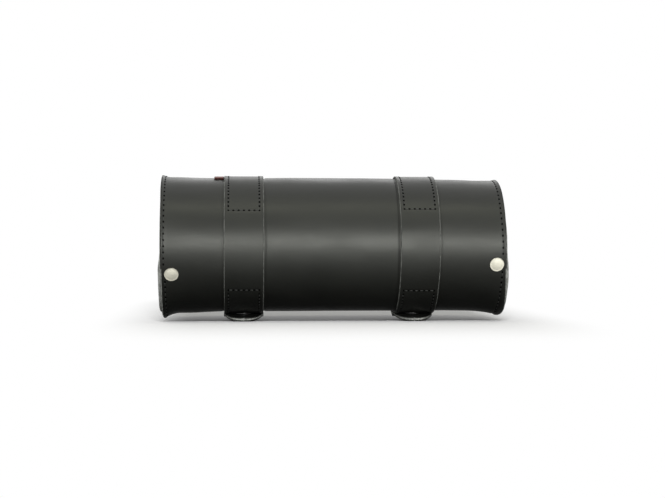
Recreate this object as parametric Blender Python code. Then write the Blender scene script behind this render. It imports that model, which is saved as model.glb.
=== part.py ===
"""A leather tool roll: a stiff leather barrel with two dished end caps and a long front flap.

Two wide straps carry the flap and hold it shut under the roll.

X runs along the roll, the front faces -Y and the roll stands on z = 0. The leather runs round the roll's own axis, so
a place on it is an angle in degrees: 0 is the front at axis height, 90 the bottom, 180 the back and -90 the top.
"""

import math

import bmesh
import bpy

# Body: the sheet round the roll, its length and the gap between touching pieces
LENGTH = 0.3025
BODY_RADIUS = 0.060
PANEL_THICKNESS = 0.0028
CLEARANCE = 0.0003

# Flap: the free part of the same sheet, from its bend to its edge under the roll
FLAP_BEND = 33.0
FLAP_EDGE = 98.0
FLAP_TO_PANEL = 6.0
FLAP_INSET = 0.0012
FLAP_CORNER = 0.012
FLAP_CORNER_SPAN = 45.0
FLARE = 0.0042
FLARE_REACH = 0.030

# Lip: the strip that stiffens the lower edge of the opening, and reaches up behind the flap
LIP_BEHIND_FLAP = 22.0
LIP_ON_PANEL = 18.0
LIP_THICKNESS = 0.0022

# End caps: leather cups, pushed in and sewn through their walls
CAP_THICKNESS = 0.0028
CAP_FILLET = 0.0030
RIM_REACH = 0.0025
RIM_FIRST = 8.0
RIM_FULL = 30.0
RIM_FALL = 86.0

# Straps: sewn over the top and back, bent with the flap in front, and free as tongues below
STRAP_PLACES = {"left": -0.0780, "right": 0.0760}
STRAP_WIDTH = 0.035
STRAP_THICKNESS = 0.0022
STRAP_CORNER = 0.009
STRAP_PAST_CLOSURE = 0.0145
EDGE_BEVEL = 0.0006

# Tongues: they leave the back of the roll, lie under the strap ends and reach forward
TONGUE_FREE = 39.0
TONGUE_STEP = 3.0
TONGUE_WIDTH = 0.038
TONGUE_THICKNESS = 0.0036
TONGUE_GAP = 0.0005
TONGUE_STRAIGHT = 0.006
FOOT_DEPTH = 0.0004

# Closures: a magnet ring in each tongue, held by a domed cap, and a steel keeper in each strap end
CLOSURE_ANGLE = 99.0
MAGNET_RADIUS = 0.0070
MAGNET_THICKNESS = 0.0010
KEEPER_SINK = 0.0002
MAGNET_SINK = 0.0001
CAP_RADIUS = 0.0075
CAP_RISE = 0.0031
CLOSURE_POST_RADIUS = 0.0020

# Rivets: one at each upper corner of the flap, through the sheet and the wall of the end cap
RIVET_INSET = 0.0090
RIVET_ABOVE_BEND = {"left": 7.3, "right": 16.0}
RIVET_RADIUS = 0.0060
RIVET_RISE = 0.0019
RIVET_POST_RADIUS = 0.0018
WASHER_RADIUS = 0.0040
WASHER_THICKNESS = 0.0010
WASHER_ROOM = 0.0010
PEENED_RADIUS = 0.0028
PEENED_THICKNESS = 0.0008

# Tab: a small folded piece that stands out of the left strap's outer edge
TAB_WIDTH = 0.0086
TAB_THICKNESS = 0.0022
TAB_START = -72.0
TAB_END = -104.0

# Fineness of the curves
SHEET_STEP = 6.0
ROUND_SIDES = 48
SMALL_SIDES = 28
CORNER_STEPS = 5
DOME_STEPS = 7
SHARP_ANGLE = 35.0

HALF = LENGTH / 2
SIDES = {"left": -1, "right": 1}
PANEL_INNER = BODY_RADIUS - PANEL_THICKNESS
STRAP_INNER = BODY_RADIUS + CLEARANCE
STRAP_OUTER = STRAP_INNER + STRAP_THICKNESS
TONGUE_INNER = STRAP_OUTER + TONGUE_GAP
CAP_WALL_OUTER = PANEL_INNER - CLEARANCE
CAP_WALL_INNER = CAP_WALL_OUTER - CAP_THICKNESS
DISH = RIVET_INSET + WASHER_RADIUS + WASHER_ROOM + CAP_FILLET
PANEL_EDGE = FLAP_EDGE + FLAP_TO_PANEL
STRAP_END = CLOSURE_ANGLE + math.degrees(STRAP_PAST_CLOSURE / STRAP_INNER)
TONGUE_BEND = STRAP_END + TONGUE_FREE
TIP_RADIUS = TONGUE_WIDTH / 2


def axis_height():
    """The height of the roll's axis: the tongue tips and the closure caps stand on z = 0."""
    closure = math.radians(CLOSURE_ANGLE)
    outer = TONGUE_INNER + TONGUE_THICKNESS
    reach = TONGUE_STRAIGHT + TIP_RADIUS
    tip = outer * math.sin(closure) - reach * math.cos(closure) - FOOT_DEPTH
    ball = (CAP_RADIUS**2 + CAP_RISE**2) / (2 * CAP_RISE)
    cap = (outer + CLEARANCE + CAP_RISE - ball) * math.sin(closure) + ball
    return max(tip, cap)


AXIS_HEIGHT = axis_height()


def clear_scene():
    for obj in list(bpy.data.objects):
        bpy.data.objects.remove(obj, do_unlink=True)


def material(name, colour, roughness, metallic=0.0):
    made = bpy.data.materials.new(name)
    made.use_nodes = True
    shader = made.node_tree.nodes["Principled BSDF"]
    shader.inputs["Base Color"].default_value = (*colour, 1.0)
    shader.inputs["Roughness"].default_value = roughness
    shader.inputs["Metallic"].default_value = metallic
    return made


def at(radius, angle):
    """The (y, z) of a point at this distance from the roll's axis."""
    turn = math.radians(angle)
    return -radius * math.cos(turn), AXIS_HEIGHT - radius * math.sin(turn)


def gap_angle(radius):
    """Half of the clearance as an angle: each of two pieces that meet at a bend keeps this far from it."""
    return math.degrees(CLEARANCE / 2 / radius)


def steps_between(first, last, largest):
    """Values from first to last, evenly spaced and at most this far apart."""
    count = max(1, math.ceil(abs(last - first) / largest))
    return [first + (last - first) * i / count for i in range(count + 1)]


def smooth(share):
    share = min(1.0, max(0.0, share))
    return share * share * (3 - 2 * share)


def add_object(name, mesh_data, finish):
    obj = bpy.data.objects.new(name, mesh_data)
    bpy.context.scene.collection.objects.link(obj)
    mesh_data.materials.append(finish)
    mesh_data.shade_smooth()
    mesh_data.set_sharp_from_angle(angle=math.radians(SHARP_ANGLE))
    return obj


def loft(name, rings, finish):
    """A closed skin over equal rings of points, with a face over the first ring and one over the last."""
    shape = bmesh.new()
    loops = [[shape.verts.new(point) for point in ring] for ring in rings]
    for one, other in zip(loops, loops[1:]):
        for i, corner in enumerate(one):
            j = (i + 1) % len(one)
            shape.faces.new((corner, one[j], other[j], other[i]))
    shape.faces.new(reversed(loops[0]))
    shape.faces.new(loops[-1])
    bmesh.ops.recalc_face_normals(shape, faces=shape.faces)
    made = bpy.data.meshes.new(name)
    shape.to_mesh(made)
    shape.free()
    return add_object(name, made, finish)


def turned(name, profile, sides, finish):
    """A solid of revolution round its own Z axis, from a profile of (radius, height) points."""
    shape = bmesh.new()
    corners = [shape.verts.new((radius, 0.0, height)) for radius, height in profile]
    pairs = list(zip(corners, corners[1:]))
    if profile[0][0] > 0 or profile[-1][0] > 0:
        pairs.append((corners[-1], corners[0]))
    edges = [shape.edges.new(pair) for pair in pairs]
    bmesh.ops.spin(
        shape,
        geom=corners + edges,
        cent=(0, 0, 0),
        axis=(0, 0, 1),
        angle=math.tau,
        steps=sides,
        use_merge=True,
    )
    bmesh.ops.remove_doubles(shape, verts=shape.verts, dist=1e-7)
    bmesh.ops.recalc_face_normals(shape, faces=shape.faces)
    made = bpy.data.meshes.new(name)
    shape.to_mesh(made)
    shape.free()
    return add_object(name, made, finish)


def seat(obj, x, radius, angle):
    """Stands an object on the roll: its own Z axis points straight out from the axis of the roll."""
    y, z = at(radius, angle)
    obj.location = (x, y, z)
    obj.rotation_euler = (math.radians(90 + angle), 0, 0)
    return obj


def cut_round(target, name, x, angle, radius, low, high):
    """Cuts a round hole or recess in the target, between two distances from the roll's axis."""
    profile = [(0, 0), (radius, 0), (radius, high - low), (0, high - low)]
    cutter = turned(name, profile, SMALL_SIDES, target.data.materials[0])
    seat(cutter, x, low, angle)
    cutter.hide_render = True
    cutter.display_type = "WIRE"
    boolean = target.modifiers.new(name, "BOOLEAN")
    boolean.operation = "DIFFERENCE"
    boolean.solver = "EXACT"
    boolean.object = cutter


def strap_ring(centre, half_width, inner, outer):
    """The bevelled section of a strap between its inner and outer (y, z) point."""
    bevel = min(EDGE_BEVEL, half_width / 2)
    thickness = math.dist(inner, outer)
    low = bevel / thickness
    places = (
        (-half_width + bevel, 0.0),
        (half_width - bevel, 0.0),
        (half_width, low),
        (half_width, 1 - low),
        (half_width - bevel, 1.0),
        (-half_width + bevel, 1.0),
        (-half_width, 1 - low),
        (-half_width, low),
    )
    ring = []
    for x, depth in places:
        y = inner[0] + depth * (outer[0] - inner[0])
        z = inner[1] + depth * (outer[1] - inner[1])
        ring.append((centre + x, y, z))
    return ring


def sheet_ring(half_length, inner_at, outer_at, angle, columns):
    """A section across a sheet at one angle. The two radii are functions of x."""
    places = [half_length * column for column in columns]
    ring = [(x, *at(outer_at(x), angle)) for x in places]
    ring += [(x, *at(inner_at(x), angle)) for x in reversed(places)]
    return ring


def make_panel(leather):
    """The sheet from the flap's bend over the top and down the back, to its edge under the roll."""
    first = FLAP_BEND - gap_angle(BODY_RADIUS)
    last = PANEL_EDGE - 360
    columns = (-1, 0, 1)
    rings = []
    for angle in steps_between(first, last, SHEET_STEP):
        ring = sheet_ring(HALF, lambda x: PANEL_INNER, lambda x: BODY_RADIUS, angle, columns)
        rings.append(ring)
    panel = loft("body_panel", rings, leather)
    for side, sign in SIDES.items():
        x = sign * (HALF - RIVET_INSET)
        hole = RIVET_POST_RADIUS + CLEARANCE
        low = PANEL_INNER - PANEL_THICKNESS
        high = BODY_RADIUS + PANEL_THICKNESS
        cut_round(panel, f"panel_hole_{side}", x, rivet_angle(side), hole, low, high)


def rivet_angle(side):
    return FLAP_BEND - RIVET_ABOVE_BEND[side]


def flare(x, angle):
    """How far the flap's lower corners stand out from the roll."""
    along = smooth((abs(x) - (HALF - FLARE_REACH)) / FLARE_REACH)
    down = smooth((angle - FLAP_BEND) / (FLAP_EDGE - FLAP_BEND))
    return FLARE * along * down


def make_flap(leather):
    """The free front flap, with rounded and flared lower corners."""
    first = FLAP_BEND + gap_angle(BODY_RADIUS)
    angles = steps_between(first, FLAP_EDGE - FLAP_CORNER_SPAN, SHEET_STEP)
    half_lengths = [HALF - FLAP_INSET] * len(angles)
    steps = 2 * CORNER_STEPS
    for step in range(1, steps + 1):
        turn = math.radians(90 * step / steps)
        angles.append(FLAP_EDGE - FLAP_CORNER_SPAN * (1 - math.sin(turn)))
        half_lengths.append(HALF - FLAP_INSET - FLAP_CORNER * (1 - math.cos(turn)))
    columns = (-1, -0.96, -0.92, -0.88, -0.84, -0.78, 0, 0.78, 0.84, 0.88, 0.92, 0.96, 1)
    rings = []
    for angle, half_length in zip(angles, half_lengths):
        rings.append(
            sheet_ring(
                half_length,
                lambda x: PANEL_INNER + flare(x, angle),
                lambda x: BODY_RADIUS + flare(x, angle),
                angle,
                columns,
            )
        )
    loft("flap", rings, leather)


def make_lip(leather):
    """The stiffening strip along the lower edge of the opening, sewn inside the sheet between the caps."""
    outer = PANEL_INNER - CLEARANCE
    inner = outer - LIP_THICKNESS
    half = HALF - DISH - CAP_THICKNESS - CLEARANCE
    first = FLAP_EDGE - LIP_BEHIND_FLAP
    last = PANEL_EDGE + LIP_ON_PANEL
    rings = []
    for angle in steps_between(first, last, SHEET_STEP):
        rings.append(sheet_ring(half, lambda x: inner, lambda x: outer, angle, (-1, 0, 1)))
    loft("opening_lip", rings, leather)


def push_rim(cap, side):
    """Below the seam the cup's rim stands out past the flap, and flares with it."""
    for vertex in cap.data.vertices:
        x, y, z = vertex.co
        if z < -CLEARANCE:
            continue
        angle = math.degrees(math.atan2(SIDES[side] * x, -y))
        if angle < RIM_FIRST or angle > PANEL_EDGE:
            continue
        fade = 1 - smooth((angle - RIM_FALL) / (FLAP_EDGE - RIM_FALL))
        spread = 1 + flare(HALF, angle) * fade / BODY_RADIUS
        out = RIM_REACH * smooth((angle - RIM_FIRST) / (RIM_FULL - RIM_FIRST)) * fade
        vertex.co = (x * spread, y * spread, z + out)


def make_end_cap(side, leather):
    """A leather cup with its wall turned outwards: its floor lies in from the end of the roll."""
    fillet = [math.radians(90 * i / CORNER_STEPS) for i in range(CORNER_STEPS + 1)]
    outer_fillet = CAP_FILLET + CAP_THICKNESS
    back = -DISH - CAP_THICKNESS
    profile = [(0.0, back)]
    for turn in fillet:
        radius = CAP_WALL_OUTER - outer_fillet * (1 - math.sin(turn))
        profile.append((radius, back + outer_fillet * (1 - math.cos(turn))))
    profile.append((CAP_WALL_OUTER, 0.0))
    profile.append((CAP_WALL_INNER, 0.0))
    for turn in reversed(fillet):
        radius = CAP_WALL_INNER - CAP_FILLET * (1 - math.sin(turn))
        profile.append((radius, -DISH + CAP_FILLET * (1 - math.cos(turn))))
    profile.append((0.0, -DISH))
    cap = turned(f"end_cap_{side}", profile, ROUND_SIDES, leather)
    push_rim(cap, side)
    cap.location = (SIDES[side] * HALF, 0, AXIS_HEIGHT)
    cap.rotation_euler = (0, SIDES[side] * math.pi / 2, 0)
    x = SIDES[side] * (HALF - RIVET_INSET)
    hole = RIVET_POST_RADIUS + CLEARANCE
    low = CAP_WALL_INNER - CAP_THICKNESS
    high = CAP_WALL_OUTER + CLEARANCE
    cut_round(cap, f"cap_hole_{side}", x, rivet_angle(side), hole, low, high)


def dome(radius, rise):
    """The profile of a shallow dome on the plane of height 0, from its rim to its top."""
    ball = (radius**2 + rise**2) / (2 * rise)
    widest = math.asin(radius / ball)
    points = []
    for i in range(DOME_STEPS, -1, -1):
        turn = widest * i / DOME_STEPS
        points.append((ball * math.sin(turn), rise - ball + ball * math.cos(turn)))
    points[-1] = (0.0, rise)
    return points


def make_rivet(side, nickel):
    """A domed cap with a post through the sheet and the end cap's wall, peened over a washer."""
    seat_radius = BODY_RADIUS + CLEARANCE
    washer_top = CAP_WALL_INNER - 2 * CLEARANCE
    peened_top = washer_top - WASHER_THICKNESS - CLEARANCE
    under_washer = peened_top - seat_radius
    end = under_washer - PEENED_THICKNESS
    profile = [
        (0.0, end),
        (PEENED_RADIUS, end),
        (PEENED_RADIUS, under_washer),
        (RIVET_POST_RADIUS, under_washer),
        (RIVET_POST_RADIUS, 0.0),
    ]
    profile += dome(RIVET_RADIUS, RIVET_RISE)
    x = SIDES[side] * (HALF - RIVET_INSET)
    rivet = turned(f"rivet_{side}", profile, SMALL_SIDES, nickel)
    seat(rivet, x, seat_radius, rivet_angle(side))
    hole = RIVET_POST_RADIUS + CLEARANCE
    ring = [
        (hole, -WASHER_THICKNESS),
        (WASHER_RADIUS, -WASHER_THICKNESS),
        (WASHER_RADIUS, 0.0),
        (hole, 0.0),
    ]
    washer = turned(f"rivet_washer_{side}", ring, SMALL_SIDES, nickel)
    seat(washer, x, washer_top, rivet_angle(side))


def make_strap(side, leather):
    """The part of a strap that is sewn to the body: from the flap's bend over the top and down the back."""
    centre = STRAP_PLACES[side]
    gap = gap_angle(STRAP_INNER)
    rings = []
    for angle in steps_between(FLAP_BEND - gap, TONGUE_BEND - 360 + gap, SHEET_STEP):
        inner = at(STRAP_INNER, angle)
        rings.append(strap_ring(centre, STRAP_WIDTH / 2, inner, at(STRAP_OUTER, angle)))
    loft(f"strap_{side}", rings, leather)


def make_strap_end(side, leather):
    """The part of a strap that is sewn to the flap. It ends under the roll, where the keeper is let into it."""
    centre = STRAP_PLACES[side]
    corner = math.degrees(STRAP_CORNER / STRAP_INNER)
    angles = steps_between(FLAP_BEND + gap_angle(STRAP_INNER), STRAP_END - corner, SHEET_STEP)
    half_widths = [STRAP_WIDTH / 2] * len(angles)
    for step in range(1, CORNER_STEPS + 1):
        turn = math.radians(90 * step / CORNER_STEPS)
        angles.append(STRAP_END - corner * (1 - math.sin(turn)))
        half_widths.append(STRAP_WIDTH / 2 - STRAP_CORNER * (1 - math.cos(turn)))
    rings = []
    for angle, half_width in zip(angles, half_widths):
        inner = at(STRAP_INNER, angle)
        rings.append(strap_ring(centre, half_width, inner, at(STRAP_OUTER, angle)))
    end = loft(f"strap_end_{side}", rings, leather)
    low = STRAP_OUTER - KEEPER_SINK - MAGNET_THICKNESS - CLEARANCE
    high = STRAP_OUTER + STRAP_THICKNESS
    cut_round(end, f"keeper_recess_{side}", centre, CLOSURE_ANGLE, MAGNET_RADIUS + CLEARANCE, low, high)


def tongue_path():
    """Stations of a tongue from its bend to its tip: inner point, outer point and half width."""
    stations = []
    for angle in steps_between(TONGUE_BEND - gap_angle(STRAP_INNER), CLOSURE_ANGLE, SHEET_STEP):
        share = smooth((TONGUE_BEND - angle) / (TONGUE_BEND - STRAP_END - TONGUE_STEP))
        inner = STRAP_INNER + share * (TONGUE_INNER - STRAP_INNER)
        outer = inner + STRAP_THICKNESS + share * (TONGUE_THICKNESS - STRAP_THICKNESS)
        half_width = (STRAP_WIDTH + share * (TONGUE_WIDTH - STRAP_WIDTH)) / 2
        stations.append((at(inner, angle), at(outer, angle), half_width))
    turn = math.radians(CLOSURE_ANGLE)
    forward = (-math.sin(turn), math.cos(turn))
    inner = at(TONGUE_INNER, CLOSURE_ANGLE)
    outer = at(TONGUE_INNER + TONGUE_THICKNESS, CLOSURE_ANGLE)
    for i in range(2 * CORNER_STEPS):
        tip_turn = math.radians(90 * i / (2 * CORNER_STEPS))
        run = TONGUE_STRAIGHT + TIP_RADIUS * math.sin(tip_turn)
        inner_here = (inner[0] + run * forward[0], inner[1] + run * forward[1])
        outer_here = (outer[0] + run * forward[0], outer[1] + run * forward[1])
        stations.append((inner_here, outer_here, TIP_RADIUS * math.cos(tip_turn)))
    return stations


def make_tongue(side, leather):
    """The free end of a strap: it comes forward under the roll and ends in a round tip with a flat foot."""
    centre = STRAP_PLACES[side]
    rings = []
    for inner, outer, half_width in tongue_path():
        ring = strap_ring(centre, half_width, inner, outer)
        rings.append([(x, y, max(z, 0.0)) for x, y, z in ring])
    tongue = loft(f"tongue_{side}", rings, leather)
    low = TONGUE_INNER - TONGUE_GAP
    high = TONGUE_INNER + MAGNET_SINK + MAGNET_THICKNESS + CLEARANCE
    cut_round(tongue, f"magnet_recess_{side}", centre, CLOSURE_ANGLE, MAGNET_RADIUS + CLEARANCE, low, high)
    through = TONGUE_INNER + 2 * TONGUE_THICKNESS
    hole = CLOSURE_POST_RADIUS + CLEARANCE
    cut_round(tongue, f"post_hole_{side}", centre, CLOSURE_ANGLE, hole, low, through)


def make_closure(side, nickel, steel):
    """The magnet ring and its domed cap in a tongue, and the keeper in the strap end."""
    centre = STRAP_PLACES[side]
    hole = CLOSURE_POST_RADIUS + CLEARANCE
    ring = [
        (hole, 0.0),
        (MAGNET_RADIUS, 0.0),
        (MAGNET_RADIUS, MAGNET_THICKNESS),
        (hole, MAGNET_THICKNESS),
    ]
    magnet = turned(f"tongue_magnet_{side}", ring, SMALL_SIDES, steel)
    seat(magnet, centre, TONGUE_INNER + MAGNET_SINK, CLOSURE_ANGLE)
    cap_seat = TONGUE_INNER + TONGUE_THICKNESS + CLEARANCE
    post_end = TONGUE_INNER + MAGNET_SINK + CLEARANCE - cap_seat
    profile = [(0.0, post_end), (CLOSURE_POST_RADIUS, post_end), (CLOSURE_POST_RADIUS, 0.0)]
    profile += dome(CAP_RADIUS, CAP_RISE)
    cap = turned(f"tongue_cap_{side}", profile, SMALL_SIDES, nickel)
    seat(cap, centre, cap_seat, CLOSURE_ANGLE)
    plate = [
        (0.0, 0.0),
        (MAGNET_RADIUS, 0.0),
        (MAGNET_RADIUS, MAGNET_THICKNESS),
        (0.0, MAGNET_THICKNESS),
    ]
    keeper = turned(f"strap_keeper_{side}", plate, SMALL_SIDES, steel)
    seat(keeper, centre, STRAP_OUTER - KEEPER_SINK - MAGNET_THICKNESS, CLOSURE_ANGLE)


def make_tab(brown):
    """The small tab beside the left strap, at the top of the roll."""
    edge = STRAP_PLACES["left"] - STRAP_WIDTH / 2 - CLEARANCE
    centre = edge - TAB_WIDTH / 2
    rings = []
    for angle in steps_between(TAB_START, TAB_END, SHEET_STEP):
        inner = at(STRAP_INNER, angle)
        outer = at(STRAP_INNER + TAB_THICKNESS, angle)
        rings.append(strap_ring(centre, TAB_WIDTH / 2, inner, outer))
    loft("edge_tab", rings, brown)


def main():
    clear_scene()
    leather = material("black_leather", (0.018, 0.019, 0.017), 0.42)
    strap_leather = material("strap_leather", (0.016, 0.017, 0.015), 0.38)
    nickel = material("nickel", (0.72, 0.71, 0.66), 0.22, 1.0)
    steel = material("plated_steel", (0.55, 0.55, 0.55), 0.35, 1.0)
    brown = material("brown_leather", (0.12, 0.045, 0.03), 0.55)
    make_panel(leather)
    make_flap(leather)
    make_lip(leather)
    for side in SIDES:
        make_end_cap(side, leather)
        make_rivet(side, nickel)
        make_strap(side, strap_leather)
        make_strap_end(side, strap_leather)
        make_tongue(side, strap_leather)
        make_closure(side, nickel, steel)
    make_tab(brown)


main()
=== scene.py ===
"""The looks of the leather tool roll: leather, edges, stitching, rivets, floor, light and camera.

A place on the roll is an angle in degrees round its axis, as in the model: 0 is the front at axis height,
90 the bottom, 180 the back and -90 the top. Lengths are in metres.
"""

import math

import bmesh
import bpy
from mathutils import Matrix, Vector, noise


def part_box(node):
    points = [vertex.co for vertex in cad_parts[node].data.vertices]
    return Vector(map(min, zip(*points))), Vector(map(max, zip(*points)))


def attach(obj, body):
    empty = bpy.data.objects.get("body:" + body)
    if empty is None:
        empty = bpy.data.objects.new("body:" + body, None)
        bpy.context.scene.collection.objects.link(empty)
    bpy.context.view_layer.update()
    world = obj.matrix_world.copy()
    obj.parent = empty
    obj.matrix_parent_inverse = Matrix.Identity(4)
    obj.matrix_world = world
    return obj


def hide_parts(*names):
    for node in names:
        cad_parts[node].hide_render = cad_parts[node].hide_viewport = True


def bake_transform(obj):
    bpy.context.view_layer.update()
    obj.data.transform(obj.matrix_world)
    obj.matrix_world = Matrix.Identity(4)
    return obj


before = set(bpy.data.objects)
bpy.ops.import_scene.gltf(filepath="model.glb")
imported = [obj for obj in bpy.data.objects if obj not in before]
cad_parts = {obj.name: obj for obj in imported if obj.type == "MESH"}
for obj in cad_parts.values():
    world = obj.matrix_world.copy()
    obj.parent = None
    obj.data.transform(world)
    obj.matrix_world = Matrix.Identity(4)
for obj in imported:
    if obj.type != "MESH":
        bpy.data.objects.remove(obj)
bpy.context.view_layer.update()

SIDES = {"left": -1, "right": 1}

# Sizes as in the model
BODY_RADIUS = 0.060
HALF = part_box("body_panel")[1].x
AXIS_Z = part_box("body_panel")[1].z - BODY_RADIUS
PANEL_THICKNESS = 0.0028
GAP = 0.0003
FLAP_BEND = 33.0
FLAP_EDGE = 98.0
PANEL_EDGE = 104.0
LIP_EDGE = 76.0
LIP_ROOT = 122.0
LIP_THICKNESS = 0.0022
DISH = 0.017
CAP_THICKNESS = 0.0028
CAP_FILLET = 0.0030
STRAP_PLACES = {"left": -0.0780, "right": 0.0760}
STRAP_WIDTH = 0.035
STRAP_THICKNESS = 0.0022
STRAP_CORNER = 0.009
CLOSURE_ANGLE = 99.0
STRAP_PAST_CLOSURE = 0.0145
TONGUE_FREE = 39.0
TONGUE_THICKNESS = 0.0036
TONGUE_GAP = 0.0005
TONGUE_STRAIGHT = 0.006
TONGUE_STEP = 3.0
MAGNET_RADIUS = 0.0070
MAGNET_THICKNESS = 0.0010
MAGNET_SINK = 0.0001
KEEPER_SINK = 0.0002
CLOSURE_CAP_RADIUS = 0.0075
CLOSURE_CAP_RISE = 0.0031
RIVET_ANGLES = {"left": 25.7, "right": 17.0}
RIVET_RADIUS = 0.0060
RIVET_POST_RADIUS = 0.0018
PEENED_RADIUS = 0.0028
WASHER_THICKNESS = 0.0010
TAB_WIDTH = 0.0086
TAB_END = -104.0

PANEL_INNER = BODY_RADIUS - PANEL_THICKNESS
STRAP_INNER = BODY_RADIUS + GAP
STRAP_OUTER = STRAP_INNER + STRAP_THICKNESS
TONGUE_INNER = STRAP_OUTER + TONGUE_GAP
LIP_OUTER = PANEL_INNER - GAP
CAP_WALL_OUTER = PANEL_INNER - GAP
CAP_WALL_INNER = CAP_WALL_OUTER - CAP_THICKNESS
STRAP_END = CLOSURE_ANGLE + math.degrees(STRAP_PAST_CLOSURE / STRAP_INNER)
TONGUE_BEND = STRAP_END + TONGUE_FREE

# Sizes as read from the photograph, a little off the model's
FLAP_INSET = 0.0008
# How far each lower corner of the flap is cut in, its span in degrees and the power of its curve
FLAP_CORNERS = {"left": (0.0100, 36.0, 2.6), "right": (0.0085, 34.0, 2.0)}
# How far each corner stands out, along how much of the roll, and the share of that where it stops rising
FLARES = {"left": (0.0064, 0.0175, 0.80), "right": (0.0036, 0.0300, 1.0)}
FLARE_FULL = 88.0
# How far in from its rim an end cup follows the flap, and over how many degrees that fades under the roll
RIM_DEPTH = 0.012
RIM_FADES = {"left": 36.0, "right": 26.0}
CAP_CROWN = 0.0012
TONGUE_WIDTH = 0.0358
RIVET_PLACES = {"left": -0.1409, "right": 0.1435}
RIVET_RISE = 0.0011
TAB_THICKNESS = 0.0016
TAB_START = -75.0

# Where one visual piece ends and the next begins, hidden at the upper back
BACK_JOIN = -140.0

# Stitching: pitches, how far in the boxes lie, where they end on the straps, thread and needle holes
SEAM_PITCH = 0.0054
BOX_PITCH = 0.0045
BOX_INSET = 0.0038
BOX_TOPS = {"left": -28.4, "right": -30.0}
BOX_LOWS = {"left": 40.1, "right": 41.0}
BACK_BOX_END = TONGUE_BEND - 360 + 9.0
THREAD = 0.00036
NEEDLE_HOLE = 0.0021

# Bevels of cut leather edges
SHEET_EDGE = 0.0010
STRAP_EDGE = 0.0007
CUT_EDGE = 0.0008
RIM_EDGE = 0.0009
TAB_EDGE = 0.0006


def at(radius, angle):
    """The (y, z) of a point at this distance from the roll's axis."""
    turn = math.radians(angle)
    return -radius * math.cos(turn), AXIS_Z - radius * math.sin(turn)


def outward(angle):
    turn = math.radians(angle)
    return -math.cos(turn), -math.sin(turn)


def steps_between(first, last, largest):
    count = max(1, math.ceil(abs(last - first) / largest))
    return [first + (last - first) * i / count for i in range(count + 1)]


def smooth(share):
    share = min(1.0, max(0.0, share))
    return share * share * (3 - 2 * share)


def add_object(name, data):
    obj = bpy.data.objects.new(name, data)
    bpy.context.scene.collection.objects.link(obj)
    return obj


# Materials


def rgba(value):
    """A colour or a grey with full alpha."""
    if isinstance(value, float):
        return (value, value, value, 1.0)
    return (*value, 1.0)


def fill(tree, target, value):
    """Links an input to another node's output, or gives it a value."""
    if hasattr(value, "links"):
        tree.links.new(value, target)
    else:
        target.default_value = rgba(value) if target.type == "RGBA" else value


def new_node(tree, kind, *values, operation=None, **named):
    """A shader node. values fill its first inputs, and the named ones fill the inputs of those names."""
    made = tree.nodes.new("ShaderNode" + kind)
    if operation:
        made.operation = operation
    for number, value in enumerate(values):
        fill(tree, made.inputs[number], value)
    for name, value in named.items():
        fill(tree, made.inputs[name.replace("_", " ")], value)
    return made


class Graph:
    """A short way to write a material's nodes."""

    def __init__(self, name):
        self.material = bpy.data.materials.new(name)
        self.material.use_nodes = True
        self.tree = self.material.node_tree
        self.shader = self.tree.nodes["Principled BSDF"]
        self.place = new_node(self.tree, "TexCoord").outputs["Object"]

    def noise(self, scale, detail=3.0, rough=0.5, stretch=(1.0, 1.0, 1.0)):
        place = new_node(self.tree, "Mapping", Vector=self.place, Scale=stretch).outputs["Vector"]
        made = new_node(self.tree, "TexNoise", Vector=place, Scale=scale, Detail=detail, Roughness=rough)
        return made.outputs["Fac"]

    def cells(self, scale):
        made = new_node(self.tree, "TexVoronoi", Vector=self.place, Scale=scale)
        made.feature = "SMOOTH_F1"
        return made.outputs["Distance"]

    def ramp(self, source, low, high, start=0.3, end=0.7):
        """Maps a value between start and end to colours or values between low and high."""
        made = new_node(self.tree, "ValToRGB", Fac=source)
        for stop, position, value in zip(made.color_ramp.elements, (start, end), (low, high)):
            stop.position = position
            stop.color = rgba(value)
        return made.outputs["Color"]

    def blend(self, first, second, share, kind):
        made = new_node(self.tree, "Mix", Factor=share)
        made.data_type = "RGBA"
        made.blend_type = kind
        sockets = [s for s in made.inputs if s.type == "RGBA"]
        fill(self.tree, sockets[0], first)
        fill(self.tree, sockets[1], second)
        return [s for s in made.outputs if s.type == "RGBA"][0]

    def bump(self, height, strength, distance, **under):
        made = new_node(self.tree, "Bump", Height=height, Strength=strength, Distance=distance, **under)
        return made.outputs["Normal"]

    def set(self, **values):
        for name, value in values.items():
            fill(self.tree, self.shader.inputs[name.replace("_", " ")], value)
        return self.material


def leather(name, dark, light, rough_low, rough_high, gloss):
    """Semi-gloss black leather: fine grain, pores, soft unevenness and faint wear in the gloss."""
    graph = Graph(name)
    patches = graph.noise(22.0, 4.0, 0.55)
    grain = graph.cells(1500.0)
    pores = graph.noise(900.0, 2.0, 0.6)
    waves = graph.noise(60.0, 3.0, 0.5)
    pores = graph.ramp(pores, 0.0, 1.0, 0.35, 0.65)
    fine = graph.blend(graph.ramp(grain, 0.0, 1.0, 0.0, 0.9), pores, 0.35, "MIX")
    normal = graph.bump(waves, 0.10, 0.0012)
    normal = graph.bump(fine, 0.16, 0.00012, Normal=normal)
    scuffs = graph.noise(150.0, 5.0, 0.65, (0.25, 1.0, 1.0))
    rough = graph.blend(
        graph.ramp(patches, rough_low, rough_high, 0.35, 0.65),
        graph.ramp(scuffs, 0.0, 1.0, 0.62, 0.80),
        0.12,
        "ADD",
    )
    return graph.set(
        Base_Color=graph.ramp(patches, dark, light),
        Roughness=rough,
        Normal=normal,
        Specular_IOR_Level=gloss,
        Specular_Tint=(0.98, 1.0, 0.92),
    )


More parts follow.
